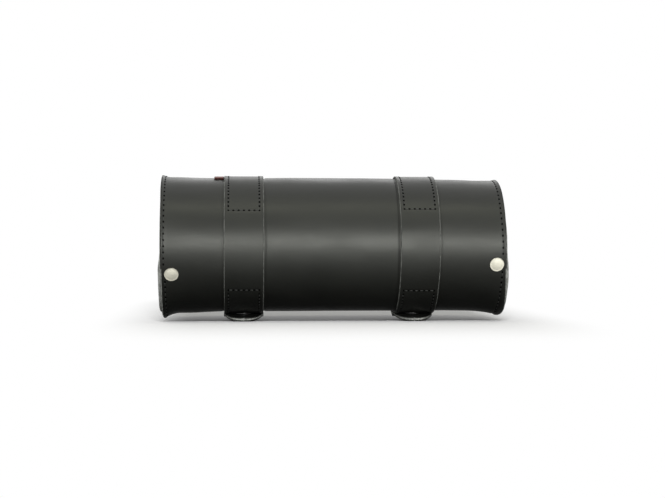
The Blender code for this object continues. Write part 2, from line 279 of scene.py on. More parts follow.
def raw_edge(name, dark, light):
    """The cut, bevelled edge of the leather: matt grey fibres with dye left in streaks."""
    graph = Graph(name)
    fibres = graph.noise(700.0, 4.0, 0.6, (1.0, 0.35, 0.35))
    streaks = graph.noise(110.0, 3.0, 0.6)
    colour = graph.blend(
        graph.ramp(fibres, dark, light, 0.35, 0.65),
        graph.ramp(streaks, 0.55, 1.0, 0.35, 0.55),
        0.8,
        "MULTIPLY",
    )
    normal = graph.bump(fibres, 0.4, 0.0002)
    return graph.set(Base_Color=colour, Roughness=0.75, Normal=normal, Specular_IOR_Level=0.25)


def flesh_side():
    """The inner, napped side of the leather."""
    graph = Graph("leather_flesh")
    nap = graph.noise(1200.0, 5.0, 0.7)
    clouds = graph.noise(35.0, 3.0, 0.5)
    colour = graph.blend(
        graph.ramp(clouds, (0.030, 0.029, 0.027), (0.050, 0.048, 0.045)),
        graph.ramp(nap, 0.6, 1.0, 0.35, 0.65),
        0.7,
        "MULTIPLY",
    )
    normal = graph.bump(nap, 0.5, 0.0003)
    return graph.set(Base_Color=colour, Roughness=0.92, Normal=normal, Specular_IOR_Level=0.25)


def metal(name, colour, rough_low, rough_high):
    """Plated metal with fine polishing marks."""
    graph = Graph(name)
    marks = graph.noise(420.0, 4.0, 0.6)
    haze = graph.noise(90.0, 2.0, 0.5)
    rough = graph.ramp(haze, rough_low, rough_high, 0.35, 0.65)
    normal = graph.bump(marks, 0.08, 0.00008)
    shade = graph.ramp(marks, tuple(0.94 * c for c in colour), colour, 0.3, 0.6)
    return graph.set(Base_Color=shade, Metallic=1.0, Roughness=rough, Normal=normal)


def thread_finish(colour):
    graph = Graph("black_thread")
    twist = graph.noise(2600.0, 2.0, 0.5, (1.0, 1.0, 0.5))
    normal = graph.bump(twist, 0.4, 0.0001)
    shade = graph.ramp(twist, tuple(0.6 * c for c in colour), colour, 0.35, 0.65)
    return graph.set(Base_Color=shade, Roughness=0.55, Normal=normal)


def needle_hole_painted_shade():
    # Painted shade: the black of the shade inside a needle hole.
    black = (0.0015, 0.0015, 0.0015)
    return Graph("needle_hole_painted_shade").set(Base_Color=black, Roughness=1.0, Specular_IOR_Level=0.0)


# Leather: darkest and lightest colour, lowest and highest roughness, gloss
BODY_FACE = leather("body_leather_face", (0.0016, 0.0018, 0.0014), (0.0030, 0.0033, 0.0026), 0.36, 0.44, 0.5)
STRAP_FACE = leather(
    "strap_leather_face", (0.0015, 0.0017, 0.0013), (0.0028, 0.0031, 0.0024), 0.36, 0.44, 0.50
)
# Dark dyed edges; on the tongue's tip wall the same finish is painted shade.
DYED_AND_PAINTED_SHADE = leather("dyed_edge_and_painted_shade", (0.0060, 0.0062, 0.0055), (0.0100, 0.0105, 0.0095), 0.55, 0.65, 0.20)
BROWN = leather("brown_leather_face", (0.085, 0.026, 0.020), (0.140, 0.044, 0.034), 0.50, 0.60, 0.25)
FLESH = flesh_side()
# Cut edges: darkest and lightest colour
RAW = raw_edge("leather_edge", (0.110, 0.113, 0.104), (0.260, 0.266, 0.247))
STRAP_RAW = raw_edge("strap_edge", (0.050, 0.052, 0.047), (0.120, 0.124, 0.114))
# The cups' cut rims are lighter than the other cut edges: painted light for the light that falls on them.
RIM_EDGE_PAINTED_LIGHT = raw_edge("rim_edge_painted_light", (0.160, 0.164, 0.152), (0.360, 0.368, 0.345))
# The brown tab's cut edge is painted near black: painted shade for the shadow on its front edge.
BROWN_EDGE_PAINTED_SHADE = raw_edge("brown_edge_painted_shade", (0.014, 0.003, 0.002), (0.034, 0.008, 0.005))
NICKEL = metal("nickel_plate", (0.70, 0.685, 0.595), 0.70, 0.78)
STEEL = metal("satin_steel", (0.56, 0.56, 0.55), 0.30, 0.42)
THREAD_BLACK = thread_finish((0.016, 0.017, 0.015))
# Needle holes get a lens painted black, a painted shade for the inside of the hole.
HOLE_PAINTED_SHADE = needle_hole_painted_shade()


# Leather pieces


def mesh_of(name, points, faces, finishes, slots=None, sharp=40.0):
    data = bpy.data.meshes.new(name)
    data.from_pydata([tuple(p) for p in points], [], faces)
    obj = add_object(name, data)
    for finish in finishes:
        data.materials.append(finish)
    if slots is not None:
        data.polygons.foreach_set("material_index", slots)
    shape = bmesh.new()
    shape.from_mesh(data)
    bmesh.ops.recalc_face_normals(shape, faces=shape.faces)
    shape.to_mesh(data)
    shape.free()
    data.shade_smooth()
    data.set_sharp_from_angle(angle=math.radians(sharp))
    return obj


def tube_faces(count, rings):
    """The faces round a closed tube of rings, and one at each end."""
    faces = []
    for i in range(rings - 1):
        for j in range(count):
            k = (j + 1) % count
            faces.append((i * count + j, i * count + k, (i + 1) * count + k, (i + 1) * count + j))
    last = (rings - 1) * count
    return faces + [tuple(range(count)), tuple(range(last, last + count))]


class Station:
    """A cross-section of a leather piece: where it lies, its width and thickness, and its place along it.

    trim rounds a cut end: that share of the thickness is gone from both faces. place gives the section's
    ends and its outer point at a distance in from the edge. By default only the ends move.
    """

    def __init__(self, left, right, outer, normal, thickness, run, trim=0.0, place=None):
        self.normal = normal
        self.thickness = thickness
        self.run = run
        self.trim = trim
        self.place = place or (lambda inset: (left + inset, right - inset, outer))


def wall_of(edge, thickness):
    """The side wall from the outer to the inner face: distances in from the edge, shares of the thickness."""
    return (
        (0.60 * edge, 0.12 * edge / thickness),
        (0.22 * edge, 0.42 * edge / thickness),
        (0.0, 0.95 * edge / thickness),
        (0.0, 0.4),
        (0.0, 0.8),
        (0.0, 1 - 0.45 * edge / thickness),
        (0.30 * edge, 1.0),
    )


# A piece's finishes are 0 its outer face, 1 its cut edge, 2 its inner face and 3 a dyed edge, which on the
# tongue's tip is painted shade. These are those of a side wall's faces, from the outer to the inner side, and
# where the tongue's wall changes. On the tip the wall is painted
# dark below and above its raw band: painted shade for the contact shadow under the tip and the shade over it.
BARE_WALL = (1,) * 8
DYED_WALL = (3,) * 8
TIP_WALL_PAINTED_SHADE = (3, 3, 3, 3, 1, 3, 3, 3)
TIP_PAINTED_SHADE_START = -255.0


def end_trims(edge, thickness):
    """Insets and trims of the last sections before a cut end."""
    share = edge / thickness
    return (0.0, 0.95 * share), (0.22 * edge, 0.42 * share), (0.60 * edge, 0.12 * share)


def ribbon(
    name, stations, centre, columns, finishes, edge, shape=None, dent=None, keel=None, wall_slots=None
):
    """A leather piece with bevelled cut edges, lofted along its stations.

    columns are places across it, from -1 at its left to 1 at its right. shape moves both faces out by a
    function of x and run, dent moves the outer face alone, and keel is the share of the thickness left at x.
    """
    rings = []
    for station in stations:
        ring = []

        def add(inset, across, share, on_top):
            left, right, outer = station.place(inset)
            x = centre + across * ((centre - left) if across < 0 else (right - centre))
            lift = shape(x, station.run) if shape else 0.0
            if dent and on_top:
                lift += dent(x, station.run)
            thickness = station.thickness * (keel(x, station.run) if keel else 1.0)
            lift -= min(max(share, station.trim), 1 - station.trim) * thickness
            ring.append((x, outer[0] + lift * station.normal[0], outer[1] + lift * station.normal[1]))

        wall = wall_of(edge, station.thickness)
        for across in columns:
            add(edge, across, 0.0, True)
        for inset, share in wall:
            add(inset, 1, share, False)
        for across in reversed(columns):
            add(edge, across, 1.0, False)
        for inset, share in reversed(wall):
            add(inset, -1, share, False)
        rings.append(ring)
    count = len(rings[0])
    tops = len(columns)
    walls = count // 2 - tops
    points = [point for ring in rings for point in ring]
    slots = []
    for station, following in zip(stations, stations[1:]):
        ended = station.trim > 0.0 or following.trim > 0.0
        side_slots = wall_slots(station.run) if wall_slots else BARE_WALL
        for j in range(count):
            if ended:
                slots.append(1)
            elif j < tops - 1:
                slots.append(0)
            elif tops + walls <= j < 2 * tops + walls - 1:
                slots.append(2)
            elif j < tops + walls:
                slots.append(side_slots[j - tops + 1])
            else:
                slots.append(side_slots[count - 1 - j])
    return mesh_of(name, points, tube_faces(count, len(rings)), finishes, slots + [1, 1])


def station_at(radius, angle, sides_at, thickness, trim=0.0):
    left, right = sides_at(angle)
    return Station(left, right, at(radius, angle), outward(angle), thickness, angle, trim)


def arc_stations(radius, angles, sides_at, thickness):
    return [station_at(radius, angle, sides_at, thickness) for angle in angles]


def cut_end(radius, end, sign, sides_at, thickness, edge):
    """The last stations before a cut end, from the full section to the end itself."""
    stations = []
    for inset, trim in reversed(end_trims(edge, thickness)):
        angle = end - sign * math.degrees(inset / radius)
        stations.append(station_at(radius, angle, sides_at, thickness, trim))
    return stations


def strip_stations(radius, first, last, margin, half, centre, thickness, edge):
    """The stations of a straight strip that is cut at both ends."""

    def sides(angle):
        return centre - half, centre + half

    sign = 1 if last > first else -1
    angles = steps_between(first + sign * margin, last - sign * margin, 3.0)
    stations = cut_end(radius, first, -sign, sides, thickness, edge)[::-1]
    stations += arc_stations(radius, angles, sides, thickness)
    return stations + cut_end(radius, last, sign, sides, thickness, edge)


def corner_angles(end, span, last_turn, steps, margin):
    """The angles through a round corner, closer together towards its end."""
    angles = []
    for i in range(1, steps + 1):
        angle = end - span * (1 - math.sin(math.radians(last_turn * i / steps)))
        if angle < end - margin:
            angles.append(angle)
    return angles


def even_columns(count):
    return [-1 + 2 * i / (count - 1) for i in range(count)]


def panel_columns():
    """Columns across the sheet, close together near the seams, the flared rims and the straps' edges."""
    length = HALF - SHEET_EDGE
    steps = [0.0008 * i for i in range(15)]
    steps += [0.0125, 0.0140, 0.0160, 0.0185, 0.0220, 0.0265, 0.0320, 0.0390]
    places = [length - step for step in steps]
    for side in SIDES:
        middle = abs(STRAP_PLACES[side])
        for edge in (middle - STRAP_WIDTH / 2, middle + STRAP_WIDTH / 2):
            places += [edge + 0.0009 * i for i in range(-4, 5)]
    places += [0.0080 * i for i in range(1, 18)]
    places = sorted(places)
    kept = [places[0]]
    for place in places[1:]:
        if place - kept[-1] > 0.0006:
            kept.append(place)
    kept[-1] = length
    values = [place / length for place in kept]
    return [-value for value in reversed(values)] + [0.0] + values


# The sheet


def corner_inset(side, angle):
    """How far the flap's round corner takes its side in at an angle."""
    across, span, power = FLAP_CORNERS[side]
    past = min(1.0, max(0.0, (angle - (FLAP_EDGE - span)) / span))
    return across * (1 - (1 - past**power) ** (1 / power))


def bulge(angle):
    """The right end is a little fuller above its rivet."""
    return 0.0005 * smooth((angle + 80) / 20) * (1 - smooth((angle - 5) / 20))


def skew(angle):
    """The flap's right side runs outwards a little."""
    return 0.0046 * smooth((angle + 5) / 80)


def sheet_sides(angle):
    """Both ends of the sheet at an angle. The flap is a little askew and its lower corners are round."""
    left = HALF - FLAP_INSET * smooth((angle + 60) / 40)
    right = HALF + skew(angle) + bulge(angle)
    return -(left - corner_inset("left", angle)), right - corner_inset("right", angle)


def unevenness(x, angle):
    """The slow waves of a hand-made sheet, a few tenths of a millimetre."""
    turn = math.radians(angle)
    wave = noise.noise(Vector((x * 14.0, math.cos(turn) * 1.7, math.sin(turn) * 1.7)))
    fine = noise.noise(Vector((x * 45.0 + 9.0, math.cos(turn) * 5.0, math.sin(turn) * 5.0)))
    return 0.00025 * wave + 0.00010 * fine


def flare_down(angle):
    return smooth((angle - FLAP_BEND) / (FLARE_FULL - FLAP_BEND))


def flare(x, angle):
    """How far the flap's lower corners stand out from the roll. The left one ends blunt."""
    most, reach, blunt = FLARES["left" if x < 0 else "right"]
    along = min(blunt, max(0.0, 1 - (HALF - abs(x)) / reach))
    return most * along * along * flare_down(angle)


def rim(x):
    """Outside its seam the sheet stands out a little, where the end cap's wall fills it."""
    if x < 0:
        return 0.0013 * smooth(1 - (HALF - abs(x)) / 0.0065)
    return 0.0006 * smooth(1 - (HALF - abs(x)) / 0.0040)


def press(x):
    """The shallow hollows that the straps' edges press into the sheet."""
    deep = 0.0
    for middle in STRAP_PLACES.values():
        line = abs(abs(x - middle) - STRAP_WIDTH / 2 - 0.0006)
        deep = max(deep, smooth(1 - line / 0.0020))
    return -0.0005 * deep


def sag(x, angle):
    """The roll stands on its straps, and its ends hang a little."""
    down = math.sin(math.radians(angle))
    if down < 0 and x > 0:
        end = 0.0005 * smooth((x - 0.115) / 0.020) - 0.0004 * smooth((x - 0.146) / 0.005)
        return down * (0.0011 * smooth((x - 0.020) / 0.120) + end)
    if down < 0:
        end = 0.0007 * smooth((-x - 0.110) / 0.030) + 0.0006 * smooth((-x - 0.143) / 0.006)
        return down * (0.0006 * smooth((-x - 0.030) / 0.050) - end)
    most = 0.0004 if x > 0 else 0.0011
    most *= smooth((abs(x) - 0.097) / 0.030) * smooth((angle - 20) / 40) * (1 - smooth((angle - 90) / 14))
    return most * down


def sheet_shape(x, angle):
    """How far the sheet stands out from its radius, with a faint taper to the right."""
    lift = unevenness(x, angle) + rim(x) + press(x) + flare(x, angle) + sag(x, angle)
    return lift + 0.0003 - 0.0004 * x / HALF


def seam_x(side, angle):
    """Where the end seam runs. It is a hand-sewn line and wanders a little."""
    if side == "left":
        return -0.1478 + 0.0012 * smooth((angle - 18) / 14)
    return 0.1480 + 0.0009 * smooth((angle + 40) / 50)


def seam_dent(x, angle):
    """The groove that the end seam's thread pulls into the leather."""
    line = abs(x - seam_x("left" if x < 0 else "right", angle))
    return -0.00035 * smooth(1 - line / 0.0018)


def sheet_walls(run):
    """The sheet's edge is dyed where it is sewn to the cap, and raw on the free flap."""
    return BARE_WALL if run > 20.0 else DYED_WALL


def sheet_ribbon(name, stations):
    finishes = (BODY_FACE, RAW, FLESH, DYED_AND_PAINTED_SHADE)
    shapes = (sheet_shape, seam_dent, None, sheet_walls)
    return ribbon(name, stations, 0.0, panel_columns(), finishes, SHEET_EDGE, *shapes)


def make_sheet():
    """The body's big sheet, in two pieces that meet out of sight at the upper back."""

    def plain(angle):
        return -HALF, HALF

    end = PANEL_EDGE - 360
    angles = steps_between(BACK_JOIN, end + 1.2, 2.0)
    stations = arc_stations(BODY_RADIUS, angles, plain, PANEL_THICKNESS)
    stations += cut_end(BODY_RADIUS, end, -1, plain, PANEL_THICKNESS, SHEET_EDGE)
    rear = sheet_ribbon("body_sheet_back", stations)
    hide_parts("body_panel")
    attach(rear, "barrel")
    span = FLAP_CORNERS["left"][1]
    angles = steps_between(BACK_JOIN, FLAP_EDGE - span, 1.6)
    angles += corner_angles(FLAP_EDGE, span, 88, 26, 1.2)
    stations = arc_stations(BODY_RADIUS, angles, sheet_sides, PANEL_THICKNESS)
    stations += cut_end(BODY_RADIUS, FLAP_EDGE, 1, sheet_sides, PANEL_THICKNESS, SHEET_EDGE)
    front = sheet_ribbon("body_sheet_front", stations)
    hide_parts("flap")
    bend_with(front)


def bend_with(obj):
    """Bakes a piece's placement into its mesh."""
    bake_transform(obj)


def make_lip():
    half = HALF - DISH - CAP_THICKNESS - GAP
    stations = strip_stations(LIP_OUTER, LIP_EDGE, LIP_ROOT, 1.0, half, 0.0, LIP_THICKNESS, CUT_EDGE)
    lip = ribbon("opening_lip_strip", stations, 0.0, even_columns(25), (BODY_FACE, RAW, FLESH), CUT_EDGE)
    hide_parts("opening_lip")
    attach(lip, "barrel")


def turned(name, profile, sides, finishes, slot_of=None):
    """A solid of revolution round its own Z axis."""
    points = []
    rings = []
    for radius, height in profile:
        if radius == 0.0:
            rings.append([len(points)])
            points.append((0.0, 0.0, height))
            continue
        rings.append(list(range(len(points), len(points) + sides)))
        for i in range(sides):
            turn = math.tau * i / sides
            points.append((radius * math.cos(turn), radius * math.sin(turn), height))
    faces = []
    slots = []
    spans = list(zip(rings, rings[1:]))
    if profile[0][0] or profile[-1][0]:
        spans.append((rings[-1], rings[0]))
    for number, (one, other) in enumerate(spans):
        for i in range(sides):
            j = (i + 1) % sides
            if len(one) == 1:
                face = (one[0], other[i], other[j])
            elif len(other) == 1:
                face = (one[i], one[j], other[0])
            else:
                face = (one[i], one[j], other[j], other[i])
            faces.append(face)
            slots.append(slot_of(number) if slot_of else 0)
    return mesh_of(name, points, faces, finishes, slots, 50.0)


def stand(obj, x, radius, angle):
    """Stands a turned piece on the roll, its Z axis straight out."""
    y, z = at(radius, angle)
    obj.data.transform(Matrix.Translation((x, y, z)) @ Matrix.Rotation(math.radians(90 + angle), 4, "X"))
    return obj


def rim_reach(side, angle, low, fade):
    """How far the cup's rim reaches past the body's plain end, as the sheet's own end does."""
    if side == "left":
        return 0.0020 * low * fade - FLAP_INSET * 0.5 * low - 0.0002 * (1 - low)
    reach = 0.0013 * low * fade + skew(angle) * fade + bulge(angle)
    return reach + 0.0011 * smooth((angle + 35) / 30) * (1 - smooth((angle - 30) / 25))


def push_rim(cap, side):
    """Below the seam the cup's rim stands out past the flap's side and flares with it."""
    sign = SIDES[side]
    for vertex in cap.data.vertices:
        x, y, z = vertex.co
        angle = math.degrees(math.atan2(sign * x, -y))
        if angle < -90:
            angle += 360
        settle = 1 + sag(sign * HALF, angle - 360 if angle > 180 else angle) / BODY_RADIUS
        near = smooth((z + RIM_DEPTH) / RIM_DEPTH)
        low = smooth((angle - 6.0) / 18.0)
        fade = 1 - smooth((angle - 66.0) / 26.0)
        follow = FLARES[side][0] * flare_down(angle) * (1 - smooth((angle - 66.0) / RIM_FADES[side]))
        spread = 1 + (follow * 0.9 + 0.0010 * (1 - low)) * near / BODY_RADIUS
        reach = rim_reach(side, angle, low, fade)
        vertex.co = (x * settle * spread, y * settle * spread, z + reach * near)


def make_end_cap(side):
    """A leather cup with a softly crowned floor, its grain side outwards."""
    sign = SIDES[side]
    outer = CAP_WALL_OUTER
    inner = CAP_WALL_INNER
    big = CAP_FILLET + CAP_THICKNESS
    back = -DISH - CAP_THICKNESS
    fillet = []
    for i in range(9):
        turn = math.radians(90 * i / 8)
        fillet.append((1 - math.sin(turn), 1 - math.cos(turn)))
    profile = [(radius, back) for radius in (0.0, 0.015, 0.030, 0.042)]
    profile += [(outer - big * across, back + big * up) for across, up in fillet]
    profile += [(outer, height) for height in (-0.009, -0.006, -0.004)]
    raw_first = len(profile) - 1
    profile += [(outer, -RIM_EDGE), (outer - 0.3 * RIM_EDGE, -0.3 * RIM_EDGE), (outer - RIM_EDGE, 0.0)]
    profile += [(inner + 0.6 * RIM_EDGE, 0.0), (inner + 0.15 * RIM_EDGE, -0.25 * RIM_EDGE)]
    raw_last = len(profile)
    profile += [(inner, -RIM_EDGE), (inner, -0.0022), (inner + 0.0003, -0.0034), (inner, -0.0046)]
    profile.append((inner, -0.009))
    profile += [(inner - CAP_FILLET * across, -DISH + CAP_FILLET * up) for across, up in reversed(fillet)]
    for radius in (0.046, 0.040, 0.032, 0.022, 0.011):
        profile.append((radius, -DISH + CAP_CROWN * smooth(1 - radius / 0.050)))
    profile.append((0.0, -DISH + CAP_CROWN))

    def slot_of(number):
        if number < raw_first:
            return 2
        return 1 if number < raw_last else 0

    # The cup's rim gets the lighter cut edge, a painted light.
    cap = turned(f"end_cup_{side}", profile, 144, (BODY_FACE, RIM_EDGE_PAINTED_LIGHT, FLESH), slot_of)
    push_rim(cap, side)
    turn = Matrix.Rotation(sign * math.pi / 2, 4, "Y")
    cap.data.transform(Matrix.Translation((sign * HALF, 0, AXIS_Z)) @ turn)
    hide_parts(f"end_cap_{side}")
    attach(cap, "barrel")


# Straps and tongues


def cut_round(obj, x, angle, radius, low, high):
    """Cuts a round recess or hole for good."""
    profile = [(0.0, 0.0), (radius, 0.0), (radius, high - low), (0.0, high - low)]
    cutter = stand(turned("cutter", profile, 48, (RAW,)), x, low, angle)
    boolean = obj.modifiers.new("recess", "BOOLEAN")
    boolean.operation = "DIFFERENCE"
    boolean.solver = "EXACT"
    boolean.object = cutter
    graph = bpy.context.evaluated_depsgraph_get()
    cut = bpy.data.meshes.new_from_object(obj.evaluated_get(graph))
    obj.modifiers.clear()
    obj.data = cut
    bpy.data.objects.remove(cutter, do_unlink=True)


def strap_dent(side):
    """Thread pulls the strap down inside its stitch boxes, and its margins stand proud."""
    centre = STRAP_PLACES[side]
    top = BOX_TOPS[side]
    low = BOX_LOWS[side]
    half = STRAP_WIDTH / 2

    def dent(x, run):
        across = half - abs(x - centre)
        sewn = max(smooth((top + 1 - run) / 3), smooth((run - low + 1) / 3))
        inside = smooth((across - BOX_INSET + 0.0010) / 0.0025)
        groove = smooth(1 - abs(across - BOX_INSET) / 0.0014)
        row = max(smooth(1 - abs(run - top) / 1.5), smooth(1 - abs(run - low) / 1.5))
        row *= smooth((across - BOX_INSET + 0.0010) / 0.0012)
        crown = (1 - across / half) ** 2
        lift = -0.00035 * sewn * inside - 0.00030 * max(groove * sewn, row)
        return lift - 0.00030 * crown * (1 - sewn)

    return dent


def strap_columns(width):
    half = width / 2 - STRAP_EDGE
    near = [0.0, 0.0007, 0.0013, 0.0018, 0.0023, 0.0028, 0.0033, 0.0039, 0.0047, 0.0060]
    right = [(half - step) / half for step in near]
    middle = [right[-1] * value for value in even_columns(11)[1:-1]]
    return [-value for value in right] + middle + right[::-1]


def strap_wave(side):
    """The unsewn stretch stands off the body a little, and unevenly."""

    def shape(x, run):
        free = smooth((run - BOX_TOPS[side] - 3) / 18) * smooth((BOX_LOWS[side] - 3 - run) / 18)
        wave = noise.noise(Vector((STRAP_PLACES[side] * 31, run * 0.05, 3.0)))
        pulled = min(0.0, math.sin(math.radians(run))) * smooth((run - BACK_JOIN) / 35)
        return (0.0005 + 0.00025 * wave) * free + 0.0005 * pulled

    return shape


def make_strap(side):
    """The strap from its end under the flap, up the front and over the top to the join at the back."""
    centre = STRAP_PLACES[side]
    corner = math.degrees(STRAP_CORNER / STRAP_INNER)

    def sides(angle):
        past = max(0.0, (angle - (STRAP_END - corner)) / corner)
        half = STRAP_WIDTH / 2 - STRAP_CORNER * (1 - math.sqrt(max(0.0, 1 - past * past)))
        return centre - half, centre + half

    angles = steps_between(BACK_JOIN, STRAP_END - corner, 1.2)
    angles += corner_angles(STRAP_END, corner, 84, 12, 1.1)
    stations = arc_stations(STRAP_OUTER, angles, sides, STRAP_THICKNESS)
    stations += cut_end(STRAP_OUTER, STRAP_END, 1, sides, STRAP_THICKNESS, CUT_EDGE)
    columns = strap_columns(STRAP_WIDTH)
    finishes = (STRAP_FACE, STRAP_RAW, FLESH)
    shapes = (strap_wave(side), strap_dent(side))
    front = ribbon(f"strap_front_{side}", stations, centre, columns, finishes, STRAP_EDGE, *shapes)
    low = STRAP_OUTER - KEEPER_SINK - MAGNET_THICKNESS - GAP
    cut_round(front, centre, CLOSURE_ANGLE, MAGNET_RADIUS + GAP, low, STRAP_OUTER + STRAP_THICKNESS)
    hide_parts(f"strap_end_{side}")
    bend_with(front)


def make_tongue(side):
    """The strap's sewn back and its free tongue, one piece as in life. The tongue's tip is round."""
    centre = STRAP_PLACES[side]
    stations = []
    for angle in steps_between(BACK_JOIN + 360, CLOSURE_ANGLE, 1.6):
        share = smooth((TONGUE_BEND - angle) / (TONGUE_BEND - STRAP_END - TONGUE_STEP))
        inner = STRAP_INNER + share * (TONGUE_INNER - STRAP_INNER)
        thickness = STRAP_THICKNESS + share * (TONGUE_THICKNESS - STRAP_THICKNESS)
        half = (STRAP_WIDTH + share * (TONGUE_WIDTH - STRAP_WIDTH)) / 2
        outer = at(inner + thickness, angle)
        stations.append(Station(centre - half, centre + half, outer, outward(angle), thickness, angle - 360))
    turn = math.radians(CLOSURE_ANGLE)
    start = at(TONGUE_INNER + TONGUE_THICKNESS, CLOSURE_ANGLE)
    tip = TONGUE_WIDTH / 2

    def tip_place(tip_turn):
        def place(inset):
            half = (tip - inset) * math.cos(tip_turn)
            run = TONGUE_STRAIGHT + (tip - inset) * math.sin(tip_turn)
            outer = (start[0] - run * math.sin(turn), start[1] + run * math.cos(turn))
            return centre - half, centre + half, outer

        return place

    steps = 30
    for i in range(steps + 1):
        place = tip_place(math.radians(88.8 * i / steps))
        run = 1.0 + i / steps
        end = (*place(0.0), outward(CLOSURE_ANGLE), TONGUE_THICKNESS, run)
        stations.append(Station(*end, place=place))

    def dent(x, run):
        across = abs(x - centre) / tip
        groove = smooth(1 - abs(STRAP_WIDTH / 2 - abs(x - centre) - BOX_INSET) / 0.0014)
        sewn = smooth((BACK_BOX_END - 2 - run) / -3) if run < 0 else 0.0
        return -0.00020 * across * across - 0.00030 * groove * sewn

    def cup(x, run):
        """The tip's sides curl up towards the roll."""
        return -0.0030 * smooth(run * 1.4 - 0.4) * (abs(x - centre) / tip) ** 3 if run > 0 else 0.0

    def keel(x, run):
        return 1 - 0.30 * smooth(run) * (abs(x - centre) / tip) ** 2 if run > 0 else 1.0

    # The tip's wall is painted dark below and above its raw band, a painted shade.
    def tongue_walls(run):
        return TIP_WALL_PAINTED_SHADE if run > 0 or run < TIP_PAINTED_SHADE_START else BARE_WALL

    columns = strap_columns(TONGUE_WIDTH)
    finishes = (STRAP_FACE, RAW, DYED_AND_PAINTED_SHADE, DYED_AND_PAINTED_SHADE)
    shapes = (cup, dent, keel, tongue_walls)
    tongue = ribbon(f"strap_tongue_{side}", stations, centre, columns, finishes, STRAP_EDGE, *shapes)
    for vertex in tongue.data.vertices:
        vertex.co.z = max(vertex.co.z, 0.0)
    low = TONGUE_INNER - TONGUE_GAP
    high = TONGUE_INNER + MAGNET_SINK + MAGNET_THICKNESS + GAP
    cut_round(tongue, centre, CLOSURE_ANGLE, MAGNET_RADIUS + GAP, low, high)
    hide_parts(f"tongue_{side}", f"strap_{side}")
    bend_with(tongue)


def make_tab():
    """A small folded piece of brown leather beside the left strap."""
    centre = STRAP_PLACES["left"] - STRAP_WIDTH / 2 - GAP - TAB_WIDTH / 2
    radius = STRAP_INNER + TAB_THICKNESS
    section = (TAB_WIDTH / 2, centre, TAB_THICKNESS, TAB_EDGE)
    stations = strip_stations(radius, TAB_START, TAB_END, 1.2, *section)

    def settled(x, run):
        return -0.0004

    # The tab's cut ends are painted near black, a painted shade.
    finishes = (BROWN, BROWN_EDGE_PAINTED_SHADE, BROWN)
    tab = ribbon("side_tab", stations, centre, even_columns(7), finishes, TAB_EDGE, settled)
    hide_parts("edge_tab")
    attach(tab, "barrel")


# Rivets and closure caps


def dome(radius, rise, steps=14):
    ball = (radius**2 + rise**2) / (2 * rise)
    widest = math.asin(min(1.0, radius / ball))
    points = []
    for i in range(steps, 0, -1):
        turn = widest * i / steps
        points.append((ball * math.sin(turn), rise - ball + ball * math.cos(turn)))
    return points + [(0.0, rise)]


def make_rivet(side):
    seat_radius = BODY_RADIUS + GAP
    washer_top = CAP_WALL_INNER - 2 * GAP
    peened_top = washer_top - WASHER_THICKNESS - GAP - seat_radius
    profile = [(0.0, peened_top - 0.0008), (0.0024, peened_top - 0.0008)]
    profile += [(PEENED_RADIUS, peened_top - 0.0005), (PEENED_RADIUS, peened_top)]
    profile += [(RIVET_POST_RADIUS, peened_top), (RIVET_POST_RADIUS, -0.0005), (0.0056, -0.0005)]
    profile += [(0.0061, -0.0002), (0.0062, 0.0002), (0.0061, 0.0005)]
    profile += [(radius, height + 0.0001) for radius, height in dome(RIVET_RADIUS, RIVET_RISE)[2:]]
    rivet = turned(f"rivet_cap_{side}", profile, 64, (NICKEL,))
    stand(rivet, RIVET_PLACES[side], seat_radius, RIVET_ANGLES[side])
    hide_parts(f"rivet_{side}")
    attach(rivet, "barrel")
    ring = [(0.0020, 0.0), (0.0038, 0.0), (0.0040, 0.0002), (0.0040, 0.0008)]
    ring += [(0.0038, WASHER_THICKNESS), (0.0020, WASHER_THICKNESS)]
    washer = turned(f"washer_{side}", ring, 48, (NICKEL,))
    stand(washer, RIVET_PLACES[side], washer_top - WASHER_THICKNESS, RIVET_ANGLES[side])
    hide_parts(f"rivet_washer_{side}")
    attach(washer, "barrel")


def make_closure_cap(side):
    seat_radius = TONGUE_INNER + TONGUE_THICKNESS + GAP
    post_end = TONGUE_INNER + MAGNET_SINK + GAP - seat_radius
    profile = [(0.0, post_end), (0.0020, post_end), (0.0020, -0.0004), (0.0071, -0.0004), (0.0075, 0.0)]
    profile += dome(CLOSURE_CAP_RADIUS, CLOSURE_CAP_RISE)[1:]
    cap = turned(f"closure_cap_{side}", profile, 64, (NICKEL,))
    stand(cap, STRAP_PLACES[side], seat_radius, CLOSURE_ANGLE)
    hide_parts(f"tongue_cap_{side}")
    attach(cap, f"{side}_tongue")


def finish_small_parts():
    """The magnets and keepers keep the model's shapes."""
    for side in SIDES:
        for node in (f"tongue_magnet_{side}", f"strap_keeper_{side}"):
            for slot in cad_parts[node].material_slots:
                slot.material = STEEL


# Stitching


def row_around(x_at, radius_at, first, last, pitch):
    """Evenly spaced needle holes along an arc, as (place, direction, outward)."""
    count = max(1, round(math.radians(abs(last - first)) * radius_at(first) / pitch))
    sign = 1 if last > first else -1
    holes = []
    for i in range(count + 1):
        angle = first + (last - first) * i / count
        turn = math.radians(angle)
        along = Vector((0, math.sin(turn), -math.cos(turn))) * sign
        place = Vector((x_at(angle), *at(radius_at(angle), angle)))
        holes.append((place, along, Vector((0, *outward(angle)))))
    return holes


def row_across(angle, radius_at, start, end, pitch):
    count = max(1, round(abs(end - start) / pitch))
    out = Vector((0, *outward(angle)))
    along = Vector((1 if end > start else -1, 0, 0))
    holes = []
    for i in range(count + 1):
        x = start + (end - start) * i / count
        holes.append((Vector((x, *at(radius_at(x), angle))), along, out))
    return holes


